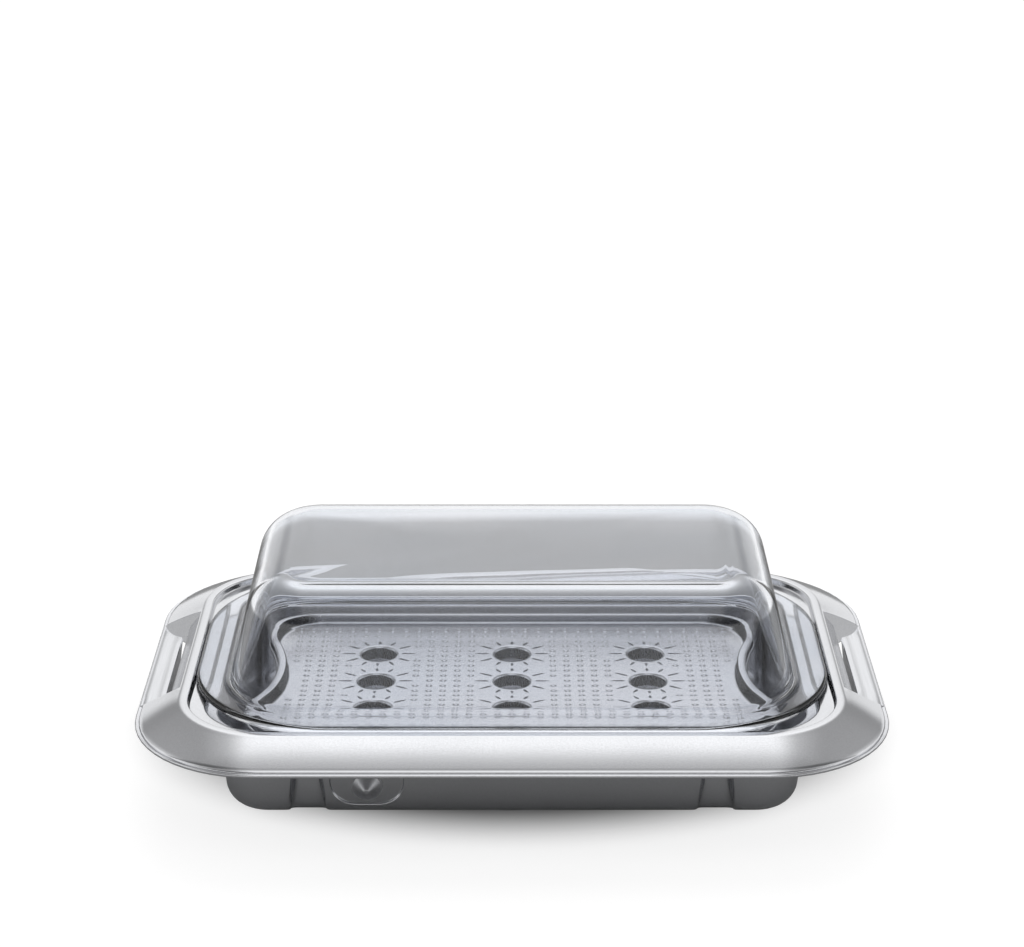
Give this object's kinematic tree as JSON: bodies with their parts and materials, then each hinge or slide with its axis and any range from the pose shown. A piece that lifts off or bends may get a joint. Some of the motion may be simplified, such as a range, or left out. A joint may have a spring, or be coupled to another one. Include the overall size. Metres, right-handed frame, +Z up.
{
  "type": "covered steam roaster",
  "caption": "Rectangular steel roasting pan with stepped overhanging rim and side grips, a perforated lift-out steam rack on pegs, and a lift-off glass lid.",
  "frame": {"origin": "centre of the pan on the surface it stands on", "axes": "+Z up; +X along the pan from the left grip to the right grip, its longest way; the wall with the gauge stud is the front and faces -Y"},
  "size_m": [0.418, 0.2786, 0.1337],
  "materials": {
    "pan_steel": "satin 18/10 stainless sheet with polished ledges",
    "grip_steel": "finely brushed stainless sheet",
    "peg_steel": "polished stainless pins",
    "rack_steel": "bright pressed stainless sheet",
    "core_metal": "bonded aluminium heat spreader",
    "clear_glass": "fire-polished pressed heat-resistant glass, clear with a faint cool tint"
  },
  "bodies": {
    "pan": {"pan_shell": "pan_steel", "left_grip": "grip_steel", "right_grip": "grip_steel", "front_left_peg": "peg_steel", "front_right_peg": "peg_steel", "rear_left_peg": "peg_steel", "rear_right_peg": "peg_steel", "gauge_stud": "peg_steel", "base_core": "core_metal", "base_cap": "pan_steel"},
    "rack": {"steam_rack": "rack_steel"},
    "lid": {"glass_lid": "clear_glass"}
  },
  "joints": [
    {"name": "rack_lift", "type": "slide", "parent": "pan", "child": "rack", "axis": [0, 0, 1], "range_m": [0, 0.133]},
    {"name": "lid_lift", "type": "slide", "parent": "rack", "child": "lid", "axis": [0, 0, 1], "range_m": [0, 0.08]}
  ]
}
